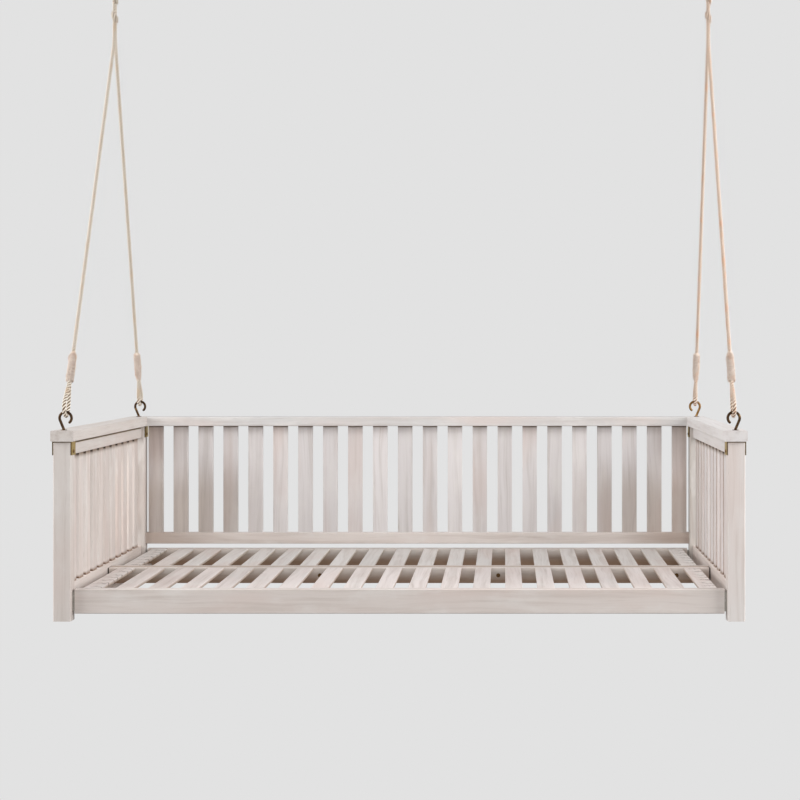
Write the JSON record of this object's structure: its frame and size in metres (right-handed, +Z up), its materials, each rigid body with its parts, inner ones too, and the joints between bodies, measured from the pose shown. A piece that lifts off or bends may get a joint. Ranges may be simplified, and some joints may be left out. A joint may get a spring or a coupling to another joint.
{
  "type": "hanging swing bed",
  "caption": "Slatted wooden daybed frame with arms and a back, hung at its four posts by two forked ropes from two ceiling hangers.",
  "frame": {"origin": "in the ceiling plane, at the middle of the four screw holes of the two hangers, over the middle of the bed", "axes": "+Z up into the ceiling, +X to the right along the bed, +Y from the open front to the back"},
  "size_m": [2.038, 1.071, 2.1275],
  "materials": {
    "washed_wood": "whitewashed, soft matt grain",
    "rope": "three-strand twisted rope",
    "whipping_twine": "wound twine",
    "bronzed_steel": "dark bronze",
    "bronzed_screws": "dark bronze",
    "brassed_straps": "dulled yellow plating",
    "zinc_steel": "plain zinc plating"
  },
  "bodies": {
    "ceiling": {"hanger_bracket_left": "bronzed_steel", "hanger_bracket_right": "bronzed_steel", "hanger_bolts": "zinc_steel", "hanger_nuts": "zinc_steel"},
    "hanger_left": {"hanger_hook_left": "bronzed_steel"},
    "hanger_right": {"hanger_hook_right": "bronzed_steel"},
    "rope_left": {"rope_left": "rope", "whipping_front_left": "whipping_twine", "whipping_rear_left": "whipping_twine", "seizings_left": "rope"},
    "rope_right": {"rope_right": "rope", "whipping_front_right": "whipping_twine", "whipping_rear_right": "whipping_twine", "seizings_right": "rope"},
    "bed": {"post_front_left": "washed_wood", "post_front_right": "washed_wood", "post_rear_left": "washed_wood", "post_rear_right": "washed_wood", "arm_cap_left": "washed_wood", "arm_cap_right": "washed_wood", "back_cap": "washed_wood", "cap_dowels": "washed_wood", "side_top_rail_left": "washed_wood", "side_top_rail_right": "washed_wood", "side_bottom_rail_left": "washed_wood", "side_bottom_rail_right": "washed_wood", "side_slats_left": "washed_wood", "side_slats_right": "washed_wood", "back_bottom_rail": "washed_wood", "back_slats": "washed_wood", "seat_front_rail": "washed_wood", "seat_rear_rail": "washed_wood", "seat_middle_rail_front": "washed_wood", "seat_middle_rail_rear": "washed_wood", "seat_slats_front": "washed_wood", "seat_slats_rear": "washed_wood", "cleat_left": "washed_wood", "cleat_right": "washed_wood", "cleat_screws": "zinc_steel", "hook_plates_posts": "zinc_steel", "hook_plates_seat": "zinc_steel", "seat_joining_bolts": "bronzed_screws", "seat_joining_nuts": "zinc_steel", "strap_front_left": "brassed_straps", "strap_front_right": "brassed_straps", "strap_rear_left": "brassed_straps", "strap_rear_right": "brassed_straps", "strap_screws": "bronzed_screws", "hook_front_left": "bronzed_steel", "hook_front_right": "bronzed_steel", "hook_rear_left": "bronzed_steel", "hook_rear_right": "bronzed_steel", "hook_washers": "bronzed_steel", "hook_nuts": "zinc_steel"}
  },
  "joints": [
    {"name": "swing_front_back", "type": "hinge", "parent": "ceiling", "child": "hanger_left", "pos_m": [-0.9825, 0, -0.022], "axis": [1, 0, 0], "range_deg": [-20, 20]},
    {"name": "swing_front_back_right", "type": "hinge", "parent": "ceiling", "child": "hanger_right", "pos_m": [0.9825, 0, -0.022], "axis": [1, 0, 0], "range_deg": [-20, 20]},
    {"name": "swing_end_to_end", "type": "hinge", "parent": "hanger_left", "child": "rope_left", "pos_m": [-0.9825, 0, -0.066], "axis": [0, 1, 0], "range_deg": [-10, 10]},
    {"name": "swing_end_to_end_right", "type": "hinge", "parent": "hanger_right", "child": "rope_right", "pos_m": [0.9825, 0, -0.066], "axis": [0, 1, 0], "range_deg": [-10, 10]},
    {"name": "bed_stays_level", "type": "hinge", "parent": "rope_left", "child": "bed", "pos_m": [-0.9825, 0, -1.5325], "axis": [0, 1, 0], "range_deg": [-10, 10]}
  ],
  "couplings": [
    {"joint": "swing_front_back_right", "follows": "swing_front_back", "ratio": 1},
    {"joint": "swing_end_to_end_right", "follows": "swing_end_to_end", "ratio": 1},
    {"joint": "bed_stays_level", "follows": "swing_end_to_end", "ratio": -1}
  ]
}
